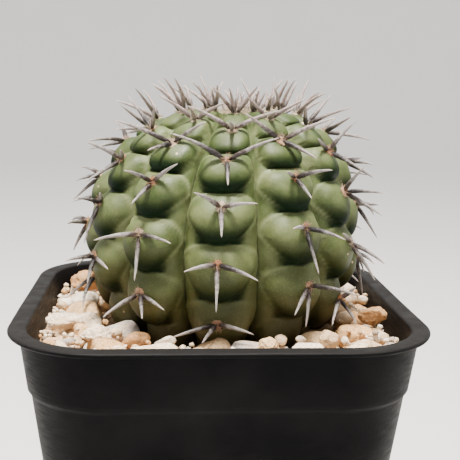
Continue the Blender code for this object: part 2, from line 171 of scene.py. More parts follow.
# Gravel
CELL = 0.5 * MM
BED_Z = GRAVEL_Z - 4.0 * MM
BED_REACH = RIM_WIDTH / 2 - LIP_WIDTH - COLLAR_STEP - WALL - 0.6 * MM
BED_CORNER = RIM_CORNER - LIP_WIDTH - COLLAR_STEP - WALL
STEM_RADIUS = 27 * MM
GRIT_INNER_RADIUS = 22 * MM
PLACES_TRIED = 10
STONE_KINDS = (
    # count, smallest and largest size in mm, highest top above the gravel's level in mm
    (110, 8.5, 12.5, 3.0),
    (110, 5.0, 8.5, 2.8),
    (150, 2.6, 4.6, 2.6),
    (650, 0.8, 2.0, 2.8),
)
BIG_STONES = (
    "stone_porous_left",
    "stone_tan_left",
    "stone_grey_front_left",
    "stone_flat_front",
    "stone_beige_front",
    "stone_pale_front_right",
    "stone_round_right",
)


# ---------------------------------------------------------------- meshes


def smooth_step(low, high, value):
    t = np.clip((value - low) / (high - low), 0, 1)
    return t * t * (3 - 2 * t)


class Parts:
    """Collects the vertices, faces and per-vertex values of one piece."""

    def __init__(self, *values):
        self.verts = []
        self.faces = []
        self.count = 0
        self.values = {name: [] for name in values}

    def add(self, verts, faces, **values):
        self.verts.append(np.asarray(verts, float))
        self.faces += [tuple(i + self.count for i in f) for f in faces]
        for name, stored in self.values.items():
            stored.append(np.broadcast_to(values[name], len(verts)))
        self.count += len(verts)

    def build(self, name, material, slot):
        return mesh_piece(
            name,
            np.concatenate(self.verts),
            self.faces,
            material,
            {key: np.concatenate(stored) for key, stored in self.values.items()},
        )


def mesh_piece(name, verts, faces, material, values=None):
    """A smooth mesh object that rides on the root body."""
    mesh = bpy.data.meshes.new(name)
    mesh.from_pydata([tuple(v) for v in verts], [], faces)
    for key, stored in (values or {}).items():
        attribute = mesh.attributes.new(key, "FLOAT", "POINT")
        attribute.data.foreach_set("value", np.asarray(stored, np.float32))
    mesh.shade_smooth()
    mesh.materials.append(material)
    obj = bpy.data.objects.new(name, mesh)
    bpy.context.scene.collection.objects.link(obj)
    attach(obj, "root")
    return obj


def tube_faces(sides, rings):
    """Faces of a tube of rings, closed by a fan at each end."""
    faces = []
    for ring in range(rings - 1):
        for side in range(sides):
            a = ring * sides + side
            b = ring * sides + (side + 1) % sides
            faces.append((a, b, b + sides, a + sides))
    faces.append(tuple(range(sides))[::-1])
    last = (rings - 1) * sides
    faces.append(tuple(range(last, last + sides)))
    return faces


def tube(path, radii, sides, start_side=None):
    """Vertices of a round tube along a path of points."""
    path = np.asarray(path, float)
    tangent = np.gradient(path, axis=0)
    tangent /= np.linalg.norm(tangent, axis=1)[:, None]
    side = np.cross(tangent[0], (0.31, 0.27, 0.91)) if start_side is None else start_side
    turns = np.arange(sides) * 2 * np.pi / sides
    verts = []
    for point, along, radius in zip(path, tangent, radii):
        side = side - along * side.dot(along)
        side /= np.linalg.norm(side)
        other = np.cross(along, side)
        circle = np.cos(turns)[:, None] * side + np.sin(turns)[:, None] * other
        verts.append(point + circle * radius)
    return np.concatenate(verts)


# ---------------------------------------------------------------- cactus body


def latitude(row):
    return np.pi / 2 - ROW_ANGLE * np.maximum(APEX_ROW - row, 0) ** ROW_CLOSING


def row_spacing(row):
    slope = ROW_ANGLE * ROW_CLOSING * np.maximum(APEX_ROW - row, 0) ** (ROW_CLOSING - 1)
    return BODY_RADIUS * slope


def axis_x(z):
    """The plant stands right of the middle, and its upper half leans further right."""
    height = np.maximum(z - EQUATOR_Z, 0)
    return AXIS_X + LEAN * height * height / TOP_RISE


def rib_azimuth(rib, row):
    """Angle of a rib's ridge from the front, positive to the right."""
    turned = np.clip(row - 2, *TWISTED_ROWS)
    place = rib % RIB_COUNT
    shift = np.radians(RIB_SHIFTS[place] + RIB_TWISTS[place] * turned)
    return RIB_TURN + rib * 2 * math.pi / RIB_COUNT + shift


def azimuth(rib, across, row):
    """Azimuth at across, which runs from -1 to 1 between a rib's two furrows."""
    ridge = rib_azimuth(rib, row)
    after, before = rib_azimuth(rib + 1, row), rib_azimuth(rib - 1, row)
    neighbour = np.where(across > 0, after, before)
    return ridge + np.abs(across) * (neighbour - ridge) / 2


def first_row(rib):
    return (rib * RIB_ROW_STEP) % 1.0


def along_knob(rib, row):
    """Place on a knob: 1 at its top edge, 0 at its middle and -1 where the next one begins."""
    place = row - first_row(rib)
    offset = place - np.ceil(place - KNOB_TOP) - KNOB_MIDDLE
    upper = KNOB_TOP - KNOB_MIDDLE
    return np.where(offset > 0, offset / upper, offset / (1 - upper))


def chin_width(along, row):
    """Half width of a knob, which narrows from its shoulders down to its chin."""
    higher = smooth_step(2.0, 4.0, row)
    chin, widest = CHIN_WIDTH + 0.2 * higher, KNOB_WIDTH - 0.1 * higher
    return widest + (chin - widest) * np.clip(-along, 0, 1)


def fullness(row):
    """How much squarer the knobs are than round ones, which grows up the plant."""
    return 1 + 0.8 * smooth_step(1.9, 3.9, row)


def knob_reach(rib, across, row):
    """Place across a knob, from 0 at its middle to 1 at its edge, and more beyond."""
    along, fuller = along_knob(rib, row), fullness(row)
    edge = np.abs(along) ** (fuller * np.where(along > 0, ABOVE_POWER, BELOW_POWER))
    return edge + np.abs(across / chin_width(along, row)) ** (SIDE_POWER * fuller)


def knob(rib, across, row):
    """Height of a knob: a dome with a broad arch on top and a narrower chin."""
    inside = np.maximum(1 - knob_reach(rib, across, row), 0)
    return inside ** (KNOB_ROUNDNESS / fullness(row))


def horseshoe(rib, across, row):
    """A raised band that runs over a knob's top and down its sides."""
    past = knob_reach(rib, across, row) - HORSESHOE_REACH
    band = 0.16 + 0.06 * smooth_step(2.0, 4.0, row)
    return np.exp(-((past / band) ** 2)) * smooth_step(-0.95, -0.3, along_knob(rib, row))


def crown_fade(row):
    """Falls to 0 at the crown, where the ribs and knobs run out."""
    return smooth_step(FLAT_ROW, FLAT_ROW - 0.9, row)


def relief(rib, across, row):
    """How far the skin lies inside the smooth body."""
    radius = BODY_RADIUS * np.cos(latitude(row))
    arch = np.maximum(1 - np.abs(across) ** RIB_POWER, 0) ** RIB_ROUNDNESS
    furrow = RIB_DEPTH_SHARE * radius * (1 - arch)
    height = KNOB_SHARE * row_spacing(row) * (1 - 0.2 * smooth_step(2.5, 4.5, row))
    bare = 1 - knob(rib, across, row) - HORSESHOE_SHARE * horseshoe(rib, across, row)
    return crown_fade(row) * (furrow + height * bare)


def profile(angle):
    """Radius and height of the smooth body at a latitude, and its outward slope."""
    rise = np.where(angle > 0, TOP_RISE, UNDER_DROP)
    power = np.where(angle > 0, SHOULDER, 1.0)
    radius = BODY_RADIUS * np.cos(angle) ** power
    run = power * radius * np.sin(angle) / np.cos(angle)
    slope = np.stack([rise * np.cos(angle), run])
    return radius, rise * np.sin(angle), slope / np.linalg.norm(slope, axis=0)


def skin_point(rib, across, row):
    """Points of the skin and their outward normals, for arrays of across and row."""
    turn = azimuth(rib, across, row)
    radius, z, slope = profile(latitude(row))
    out = -relief(rib, across, row)
    sag = CHIN_SAG * row_spacing(row) * knob(rib, across, row) * crown_fade(row)
    radius = radius + out * slope[0] + sag * slope[1]
    z = EQUATOR_Z + z + out * slope[1] - sag * slope[0]
    z = z - DIMPLE_DEPTH * np.exp(-((radius / DIMPLE_RADIUS) ** 2))
    x = np.sin(turn) * radius + axis_x(z)
    y = -np.cos(turn) * radius
    normal = np.stack([np.sin(turn) * slope[0], -np.cos(turn) * slope[0], slope[1]], -1)
    return np.stack([x, y, z], -1), normal


def base_row():
    return APEX_ROW - ((math.pi / 2 - BASE_LATITUDE) / ROW_ANGLE) ** (1 / ROW_CLOSING)


def ripple(points, wavelength, seed):
    """A smooth uneven field with values near -1 to 1."""
    rng = np.random.default_rng(seed)
    total = np.zeros(len(points))
    for _ in range(7):
        wave = rng.normal(size=3)
        wave *= 2 * np.pi / wavelength / np.linalg.norm(wave)
        total += np.sin(points @ wave + rng.uniform(0, 2 * np.pi))
    return total / 3.5


def painted_chin_shade(rib, across, row):
    """Painted shade: 1 on the dark chin of a knob, where it faces down out of the top light,
    and 0 on its shoulders, weaker up the plant.
    """
    along = along_knob(rib, row)
    within = 1 - smooth_step(0.75, 1.05, np.abs(across) / chin_width(along, row))
    fading = 1 - 0.7 * smooth_step(2.7, 4.0, row)
    return smooth_step(0.15, -0.65, along) * within * fading


def make_skin():
    """The body's skin, with values for its material: painted shade on the chins, raised bands
    that also carry a painted highlight, and furrows.
    """
    steps = np.linspace(-1, 1, SKIN_COLUMNS + 1)[:-1]
    across = np.sin(steps * np.pi / 2)
    rows = np.linspace(base_row(), APEX_ROW - 0.02, SKIN_ROWS)
    across_grid, row_grid = np.meshgrid(across, rows)
    points, normals, painted_chin_shades, arch_highlights = [], [], [], []
    for rib in range(RIB_COUNT):
        place, normal = skin_point(rib, across_grid, row_grid)
        points.append(place)
        normals.append(normal)
        # painted shade mask for the knobs' chins
        painted_chin_shades.append(painted_chin_shade(rib, across_grid, row_grid))
        # The raised band's mask also paints a highlight along each knob's lit arch.
        arch_highlights.append(horseshoe(rib, across_grid, row_grid))
    points = np.concatenate(points, 1).reshape(-1, 3)
    normals = np.concatenate(normals, 1).reshape(-1, 3)
    points += normals * (ripple(points, 14 * MM, 1) * 0.22 * MM)[:, None]
    points += normals * (ripple(points, 5 * MM, 2) * 0.07 * MM)[:, None]
    width = RIB_COUNT * SKIN_COLUMNS
    points[:width, 2] = STEM_Z
    values = {
        "chin_shade_paint": np.concatenate(painted_chin_shades, 1).ravel(),
        "edge": np.concatenate(arch_highlights, 1).ravel(),
        "furrow": np.tile(np.abs(across_grid), (1, RIB_COUNT)).ravel(),
    }
    faces = tube_faces(width, SKIN_ROWS)
    skin = mesh_piece("cactus_skin", points, faces, skin_material(), values)
    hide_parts("cactus_body")


# ---------------------------------------------------------------- spines and wool


def pad_frame(rib, row):
    """A pad's place and its axes: right along the row, up the rib and out of the plant."""
    zero = np.array(0.0)
    place, out = skin_point(rib, zero, np.array(row))
    above = skin_point(rib, zero, np.array(row + 0.05))[0] - place
    up = above - out * above.dot(out)
    up /= np.linalg.norm(up)
    return place, np.stack([np.cross(up, out), up, out])


def spine_shape(start, direction, droop, length, radius, axes):
    """A spine that swells from a narrow foot and tapers to a sharp tip."""
    along = np.linspace(0, 1, SPINE_RINGS) ** 0.9
    aims = direction[None] + droop[None] * along[:, None]
    aims /= np.linalg.norm(aims, axis=1)[:, None]
    local = start + aims * (length * along)[:, None]
    swell = 0.55 + 0.45 * smooth_step(0, 0.22, along)
    taper = np.maximum(1 - along, 0) ** 0.5 * (1 - 0.3 * along)
    radii = radius * swell * taper + 0.03 * MM
    return local @ axes, radii, along


def front_plan(spines, axes, rng):
    """Direction, droop, length and radius of the spines of a front pad, from their reaches."""
    plan = []
    for right, up, forward in spines:
        direction = axes @ np.array((right, -forward, up))
        length = np.linalg.norm(direction) * MM
        droop = np.array((0, -0.14, rng.uniform(-0.12, 0.04)))
        plan.append((direction / np.linalg.norm(direction), droop, length, SPINE_RADIUS))
    return plan


def cluster_plan(row, rng):
    """Direction, droop, length and radius of each spine on one pad, in the pad's axes."""
    age = min(row, 4.2)
    lift = 0.42 + 0.09 * age
    growth = np.interp(row, GROWTH_ROWS, GROWTH)
    upright = max(row - UPRIGHT_ROW, 0)
    plan = []
    for side in (1, -1):
        tilt = -0.05 + rng.uniform(-0.35, 0.35)
        out = lift + rng.uniform(-0.2, 0.3) + 0.35 * upright
        direction = np.array((side * (1 - 0.2 * upright), tilt, out))
        length = SIDE_LENGTH * growth * rng.uniform(0.68, 1.12)
        droop = np.array((0, rng.uniform(-0.35, 0.05), rng.uniform(-0.25, 0.1)))
        plan.append((direction, droop, length, SPINE_RADIUS))
    fall = -1.0 + 0.75 * min(upright, 1.2)
    if row < 0.3:
        fall = -0.1
    out = 0.45 + 0.06 * age + 0.4 * upright + rng.uniform(-0.15, 0.3)
    direction = np.array((rng.uniform(-0.3, 0.3), fall, out))
    length = DOWN_LENGTH * growth * rng.uniform(0.75, 1.1)
    plan.append((direction, np.array((0, -0.22, 0.0)), length, SPINE_RADIUS * 0.95))
    return plan


def add_spines(parts, rib, index, row, rng):
    """The spines of one pad. Its random plan is drawn even where a set one replaces it."""
    place, axes = pad_frame(rib, row)
    plan = cluster_plan(row, rng)
    if (rib, index) in FRONT_SPINES:
        plan = front_plan(FRONT_SPINES[rib, index], axes, rng)
    faces = tube_faces(SPINE_SIDES, SPINE_RINGS)
    young = smooth_step(2.6, 5.0, row)
    shrink = 1 - 0.1 * smooth_step(3.6, 5.5, row)
    for direction, droop, length, radius in plan:
        direction = direction / np.linalg.norm(direction)
        start = direction * FOOT_SPREAD * shrink
        radius *= shrink * rng.uniform(0.9, 1.08)
        local, radii, along = spine_shape(start, direction, droop, length, radius, axes)
        verts = tube(local + place, radii, SPINE_SIDES)
        verts += 0.03 * MM * ripple(verts, 2.2 * MM, 5)[:, None] * (1, 0.6, -0.8)
        parts.add(
            verts,
            faces,
            along=np.repeat(along, SPINE_SIDES),
            tint=rng.uniform(0, 1),
            young=young,
        )


def add_hair(parts, root, direction, length, rng, orange=0.0):
    """One short, crimped hair of felt."""
    bend = np.array([rng.gauss(0, 0.5) for _ in range(3)])
    steps = np.linspace(0, 1, 4)[:, None]
    path = root + direction * length * steps + bend * length * steps**2
    radii = HAIR_RADIUS * np.array((1.0, 1.0, 0.8, 0.3))
    parts.add(tube(path, radii, 3), tube_faces(3, 4), tint=rng.uniform(0, 1), orange=orange)


def on_dome(turn, tilt):
    """The point of a unit ball at a turn round its axis and a tilt from its top."""
    return np.sin(tilt) * np.cos(turn), np.sin(tilt) * np.sin(turn), np.cos(tilt)


def way_out(rng, least_tilt, most_tilt):
    turn = rng.uniform(0, 2 * np.pi)
    return np.array(on_dome(turn, rng.uniform(least_tilt, most_tilt)))


def dome_grid(sides, rings):
    """The top of a unit ball, to a little below its middle: points and faces, closed."""
    points = []
    for ring in range(rings):
        tilt = (ring / (rings - 1)) * np.pi * 0.62
        for side in range(sides):
            points.append(on_dome(side * 2 * np.pi / sides, tilt))
    points = np.array(points[::-1])
    return points, tube_faces(sides, rings)


def add_pad(parts, rib, row, rng):
    """A felted pad of wool with loose hairs standing out of it."""
    place, axes = pad_frame(rib, row)
    shrink = 1 - 0.25 * smooth_step(4.5, 6.4, row)
    size = PAD_SIZE * shrink * rng.uniform(0.85, 1.15)
    points, faces = dome_grid(14, 9)
    lumps = 1 + 0.16 * ripple(points + rng.uniform(0, 9), 0.9, 7)
    local = points * size * lumps[:, None]
    local[:, 2] -= 0.1 * MM
    orange = rng.choice((0.2, 0.45, 0.75, 1.0)) * smooth_step(4.5, 3.0, row)
    parts.add(local @ axes + place, faces, tint=rng.uniform(0, 1), orange=orange)
    for _ in range(HAIRS_PER_PAD):
        out = way_out(rng, 0.15, 1.45)
        root = (out * size * 0.9) @ axes + place
        length = HAIR_LENGTH * rng.uniform(0.5, 1.2)
        add_hair(parts, root, out @ axes, length, rng, 0.6 * orange)


def make_ribs():
    """Each rib's spines and pads. Those above the CAD model's rows belong to the crown."""
    rng = random.Random(SEED)
    spine, wool = spine_material(), wool_material()
    top_spines = Parts("along", "tint", "young")
    top_wool = Parts("tint", "orange")
    for rib in range(RIB_COUNT):
        spines = Parts("along", "tint", "young")
        pads = Parts("tint", "orange")
        row = first_row(rib)
        index = 0
        while row < TOP_ROW:
            low = index < CAD_ROWS
            add_spines(spines if low else top_spines, rib, index, row, rng)
            add_pad(pads if low else top_wool, rib, row, rng)
            row += 1
            index += 1
        name = f"rib{rib + 1:02d}"
        grown = spines.build(f"spines_{name}", spine, "spine")
        nodes = [f"spines_{name}_row{i + 1}" for i in range(CAD_ROWS)]
        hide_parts(*nodes)
        pads.build(f"areole_wool_{name}", wool, "crown_wool")
    add_crown_wool(top_wool, rng)
    top = top_spines.build("crown_spines", spine, "spine")
    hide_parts("crown_wool_and_spines")
    top_wool.build("crown_wool", wool, "crown_wool")


def add_crown_wool(parts, rng):
    """The felt that fills the plant's growing point."""
    place, _ = skin_point(0, np.array(0.0), np.array(APEX_ROW - 0.02))
    points, faces = dome_grid(32, 14)
    lumps = 1 + 0.16 * ripple(points, 0.6, 9) + 0.08 * ripple(points, 0.25, 10)
    size = np.array(CROWN_WOOL_SIZE)
    parts.add(points * size * lumps[:, None] + place, faces, tint=0.2, orange=0.25)
    for _ in range(CROWN_HAIRS):
        out = way_out(rng, 0.0, 1.5)
        length = CROWN_HAIR_LENGTH * rng.uniform(0.5, 1.2)
        add_hair(parts, out * size * 0.95 + place, out, length, rng)


# ---------------------------------------------------------------- gravel


def ball(level):
    """An icosphere's points and faces, of radius 1."""
    bm = bmesh.new()
    bmesh.ops.create_icosphere(bm, subdivisions=level, radius=1)
    points = np.array([v.co for v in bm.verts])
    faces = [tuple(v.index for v in f.verts) for f in bm.faces]
    bm.free()
    return points, faces


def rough_stone(points, size, chips, rng, grain=1.0):
    """A chipped, lumpy stone from a ball's points, with half sizes in size."""
    shaped = points.copy()
    for _ in range(chips):
        way = np.array([rng.gauss(0, 1) for _ in range(3)])
        way /= np.linalg.norm(way)
        over = shaped @ way - rng.uniform(0.62, 0.9)
        shaped -= np.maximum(over, 0)[:, None] * way * 0.9
    shift = rng.uniform(0, 50)
    if len(points) > 200:
        lumps = [noise.fractal(Vector(p * 1.6 + shift), 0.7, 2.2, 5) for p in points]
        shaped *= 1 + 0.12 * grain * np.array(lumps)[:, None]
    else:
        shaped *= 1 + 0.08 * ripple(points + shift, 1.6, 12)[:, None]
    return shaped * size


def tumbled(rng):
    """A random turn that keeps a stone's flat side nearly level."""
    turn = Matrix.Rotation(rng.uniform(0, 2 * math.pi), 3, "Z")
    tip = Matrix.Rotation(rng.gauss(0, 0.25), 3, "X")
    roll = Matrix.Rotation(rng.gauss(0, 0.25), 3, "Y")
    return np.array(turn @ tip @ roll)


class Bed:
    """The height of the gravel's surface over a grid of cells, as stones pile up on it."""

    def __init__(self):
        self.side = int(2 * BED_REACH / CELL) + 1
        self.xs = np.linspace(-BED_REACH, BED_REACH, self.side)
        self.height = np.full((self.side, self.side), BED_Z)

    def window(self, x, y, radius):
        """The cells near a stone, the height of a dome over each, and which lie under it."""
        i = np.clip(np.searchsorted(self.xs, [x - radius, x + radius]), 0, self.side)
        j = np.clip(np.searchsorted(self.xs, [y - radius, y + radius]), 0, self.side)
        gx, gy = np.meshgrid(self.xs[i[0] : i[1]], self.xs[j[0] : j[1]], indexing="ij")
        inside = np.maximum(1 - ((gx - x) ** 2 + (gy - y) ** 2) / radius**2, 0)
        return (slice(*i), slice(*j)), np.sqrt(inside), inside > 0

    def rest(self, x, y, radius, half_height):
        """Height of the centre of a stone dropped at x, y."""
        where, dome, inside = self.window(x, y, radius)
        if not inside.any():
            return None
        return (self.height[where] + half_height * dome)[inside].max()

    def cover(self, x, y, z, radius, half_height):
        """Raises the surface to the top of a stone that has come to rest."""
        where, dome, inside = self.window(x, y, radius)
        top = np.where(inside, z + half_height * dome, -1)
        self.height[where] = np.maximum(self.height[where], top)

    def free(self, x, y, radius):
        """Whether a stone there clears the pot's wall and the plant."""
        past = [max(abs(c) - (BED_REACH - BED_CORNER), 0) for c in (x, y)]
        if math.hypot(*past) > BED_CORNER - radius:
            return False
        return math.hypot(x - AXIS_X, y) > STEM_RADIUS + 0.35 * radius


def drop_stones(bed, parts, kind, rng):
    """Drops stones of one kind, each into the lowest of a few places tried."""
    count, small, large, most_top = kind
    level = 3 if small > 3 else (2 if small > 1.5 else 1)
    points, faces = ball(level)
    for _ in range(count):
        size = rng.uniform(small, large) / 2 * MM
        half = np.array((size, size * rng.uniform(0.7, 0.95), size * rng.uniform(0.55, 0.8)))
        radius = half[:2].mean()
        best = None
        for _ in range(PLACES_TRIED):
            x = rng.uniform(-BED_REACH, BED_REACH)
            y = rng.uniform(-BED_REACH, BED_REACH)
            if not bed.free(x, y, radius):
                continue
            z = bed.rest(x, y, radius * 0.85, half[2])
            if z is not None and (best is None or z < best[2]):
                best = (x, y, z)
        if best is None:
            continue
        x, y, z = best
        z -= 0.12 * half[2]
        if z + half[2] > GRAVEL_Z + most_top * MM:
            continue
        bed.cover(x, y, z, radius, half[2])
        shaped = rough_stone(points, half, 8 if level > 1 else 3, rng)
        shaped = shaped @ tumbled(rng).T + (x, y, z)
        group = rng.choices(("cream", "tan", "grey"), (0.56, 0.28, 0.16))[0]
        parts[group].add(shaped, faces, tint=rng.uniform(0, 1))


def make_big_stones(bed, rng, materials):
    """A rough stone in the place of each large stone of the CAD model."""
    points, faces = ball(5)
    kinds = ("cream", "tan", "cream", "cream", "tan", "cream", "tan")
    for name, kind in zip(BIG_STONES, kinds):
        low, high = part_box(name)
        centre = np.array((low + high) / 2)
        half = np.array((high - low) / 2)
        shaped = rough_stone(points, half * 1.06, 9, rng, 1.3) + centre
        tint = np.full(len(shaped), rng.uniform(0, 1))
        stone = mesh_piece(
            name + "_rough", shaped, faces, materials[kind], {"tint": tint}
        )
        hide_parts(name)
        bed.cover(centre[0], centre[1], centre[2], half[:2].mean(), half[2])


def edge_radius(way):
    """How far the bed reaches in one direction, inside the pot's rounded corners."""
    radius = BED_REACH / np.abs(way).max()
    for _ in range(30):
        past = np.maximum(np.abs(way * radius) - (BED_REACH - BED_CORNER), 0)
        if past.min() > 0:
            radius -= np.hypot(*past) - BED_CORNER
    return radius


def make_bed_surface(materials):
    """The sandy grit under the stones: an uneven ring with a lowered underside."""
    sides, rings = 180, 16
    turns = np.arange(sides) * 2 * np.pi / sides
    ways = np.stack([np.cos(turns), np.sin(turns)], -1)
    outer = np.array([edge_radius(way) for way in ways])
    loops = []
    for ring in range(rings):
        share = ring / (rings - 1)
        radius = GRIT_INNER_RADIUS + (outer - GRIT_INNER_RADIUS) * share
        points = np.column_stack([ways * radius[:, None], np.full(sides, BED_Z + 0.8 * MM)])
        points[:, 2] += ripple(points, 4 * MM, 31) * 0.5 * MM
        points[:, 2] += ripple(points, 1.5 * MM, 32) * 0.25 * MM
        loops.append(points)
    for above in (loops[-1], loops[0]):
        low = above.copy()
        low[:, 2] = STEM_Z
        loops.append(low)
    faces = []
    for ring in range(len(loops)):
        start, after = ring * sides, (ring + 1) % len(loops) * sides
        for i in range(sides):
            j = (i + 1) % sides
            faces.append((after + i, after + j, start + j, start + i))
    grit = mesh_piece(
        "gravel_grit",
        np.concatenate(loops),
        faces,
        materials["grit"],
        {"tint": np.full(len(loops) * sides, 0.5)},
    )
    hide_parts("gravel_bed")


def make_gravel():
    rng = random.Random(SEED + 1)
    materials = {
        "cream": stone_material("pumice_cream", STONE_CREAM),
        "tan": stone_material("pumice_tan", STONE_TAN),
        "grey": stone_material("gravel_grey", STONE_GREY),
        "grit": stone_material("sandy_grit", STONE_GRIT),
    }
    make_bed_surface(materials)
    bed = Bed()
    parts = {kind: Parts("tint") for kind in ("cream", "tan", "grey")}
    drop_stones(bed, parts, STONE_KINDS[0], rng)
    make_big_stones(bed, rng, materials)
    for kind in STONE_KINDS[1:]:
        drop_stones(bed, parts, kind, rng)
    for group, stones in parts.items():
        stones.build(f"gravel_{group}", materials[group], "gravel")


# ---------------------------------------------------------------- pot


def rounded_square(width, corner, z):
    """Points round a square with rounded corners, counter-clockwise from above."""
    points = []
    reach = width / 2 - corner
    for quarter in range(4):
        turned = np.array(Matrix.Rotation(quarter * math.pi / 2, 3, "Z"))
        for step in range(CORNER_STEPS + 1):
            angle = step / CORNER_STEPS * math.pi / 2
            point = (reach + corner * math.cos(angle), reach + corner * math.sin(angle), z)
            points.append(turned @ point)
        for step in range(1, SIDE_STEPS):
            x = reach - 2 * reach * step / SIDE_STEPS
            points.append(turned @ (x, width / 2, z))
    return np.array(points)


def wall_width(z):
    """The pot's outer width, which grows evenly from its base to its rim."""
    top = RIM_WIDTH - 2 * LIP_WIDTH - 2 * COLLAR_STEP
    return BASE_WIDTH + (top - BASE_WIDTH) * z / RIM_Z


def wall_corner(z):
    top = RIM_CORNER - LIP_WIDTH - COLLAR_STEP
    return BASE_CORNER + (top - BASE_CORNER) * z / RIM_Z


def wall_ring(z, outset=0.0):
    return rounded_square(wall_width(z) + 2 * outset, wall_corner(z) + outset, z)


def arc(centre, radius, start, end, steps=5):
    """(outset, z) points of an arc, with angles in degrees."""
    angles = np.radians(np.linspace(start, end, steps))
    return [(centre[0] + radius * np.cos(a), centre[1] + radius * np.sin(a)) for a in angles]


def pot_profile():
    """(outset from the tapering wall, height) from inside the foot round to the floor."""
    floor_top = FOOT_HEIGHT + FLOOR
    collar = RIM_Z - COLLAR_DEPTH
    lip = COLLAR_STEP + LIP_WIDTH
    half = LIP_THICKNESS / 2
    edge = 0.35 * MM
    points = [(-FOOT_WIDTH, FOOT_HEIGHT), (-FOOT_WIDTH, edge)]
    points += arc((-FOOT_WIDTH + edge, edge), edge, 180, 270)
    points += arc((-1.0 * MM, 1.0 * MM), 1.0 * MM, 270, 360, 8)
    points += [(0, z) for z in np.linspace(3 * MM, collar - 2 * COLLAR_STEP, 12)]
    points += [(0.15 * COLLAR_STEP, collar - 1.2 * COLLAR_STEP)]
    points += [(0.85 * COLLAR_STEP, collar - 0.3 * COLLAR_STEP), (COLLAR_STEP, collar)]
    points += [(COLLAR_STEP, z) for z in np.linspace(collar + MM, RIM_Z - 2 * MM, 5)]
    points += arc((COLLAR_STEP + 0.5 * MM, RIM_Z - LIP_THICKNESS - 0.5 * MM), 0.5 * MM, 180, 90)
    points += arc((lip - half, RIM_Z - half), half, -90, 90, 9)
    points += arc((-WALL + 0.5 * MM, RIM_Z - 0.5 * MM), 0.5 * MM, 90, 180)
    points += [(-WALL, z) for z in np.linspace(RIM_Z - 3 * MM, floor_top + 2 * MM, 10)]
    points += arc((-WALL - 1.0 * MM, floor_top + 1.0 * MM), 1.0 * MM, 0, -90)
    return points


def make_pot():
    rings = [wall_ring(z, outset) for outset, z in pot_profile()]
    verts = np.concatenate(rings)
    verts[:, :2] *= (1 + 0.0016 * ripple(verts, 45 * MM, 41))[:, None]
    faces = tube_faces(len(rings[0]), len(rings))
    pot = mesh_piece("moulded_pot", verts, faces, pot_material())
    pot.data.set_sharp_from_angle(angle=math.radians(40))
    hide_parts("pot")
    cut_drain_holes(pot)


def cut_drain_holes(pot):
    """Cuts a hole in the middle of the floor and one near each corner."""
    cutters = Parts()
    for right, back in ((0, 0), (1, 1), (-1, 1), (-1, -1), (1, -1)):
        x, y = right * DRAIN_OFFSET, back * DRAIN_OFFSET
        path = [(x, y, FOOT_HEIGHT - 3 * MM), (x, y, FOOT_HEIGHT + FLOOR + 3 * MM)]
        side = np.array((1.0, 0, 0))
        cutters.add(tube(path, (DRAIN_RADIUS, DRAIN_RADIUS), 32, side), tube_faces(32, 2))
    mesh = bpy.data.meshes.new("drain_cutters")
    mesh.from_pydata([tuple(v) for v in np.concatenate(cutters.verts)], [], cutters.faces)
    cutter = bpy.data.objects.new("drain_cutters", mesh)
    bpy.context.scene.collection.objects.link(cutter)
    cut = pot.modifiers.new("drain", "BOOLEAN")
    cut.operation = "DIFFERENCE"
    cut.object = cutter
    with bpy.context.temp_override(object=pot, active_object=pot):
        bpy.ops.object.modifier_apply(modifier="drain")
    bpy.data.objects.remove(cutter)


# ---------------------------------------------------------------- materials


STONE_CREAM = ((0.62, 0.41, 0.22), (0.88, 0.69, 0.48), (0.96, 0.87, 0.74))
STONE_TAN = ((0.42, 0.21, 0.08), (0.70, 0.40, 0.17), (0.86, 0.61, 0.34))
STONE_GRIT = ((0.20, 0.12, 0.06), (0.40, 0.26, 0.14), (0.60, 0.43, 0.27))
STONE_GREY = ((0.16, 0.13, 0.11), (0.34, 0.29, 0.25), (0.58, 0.54, 0.50))


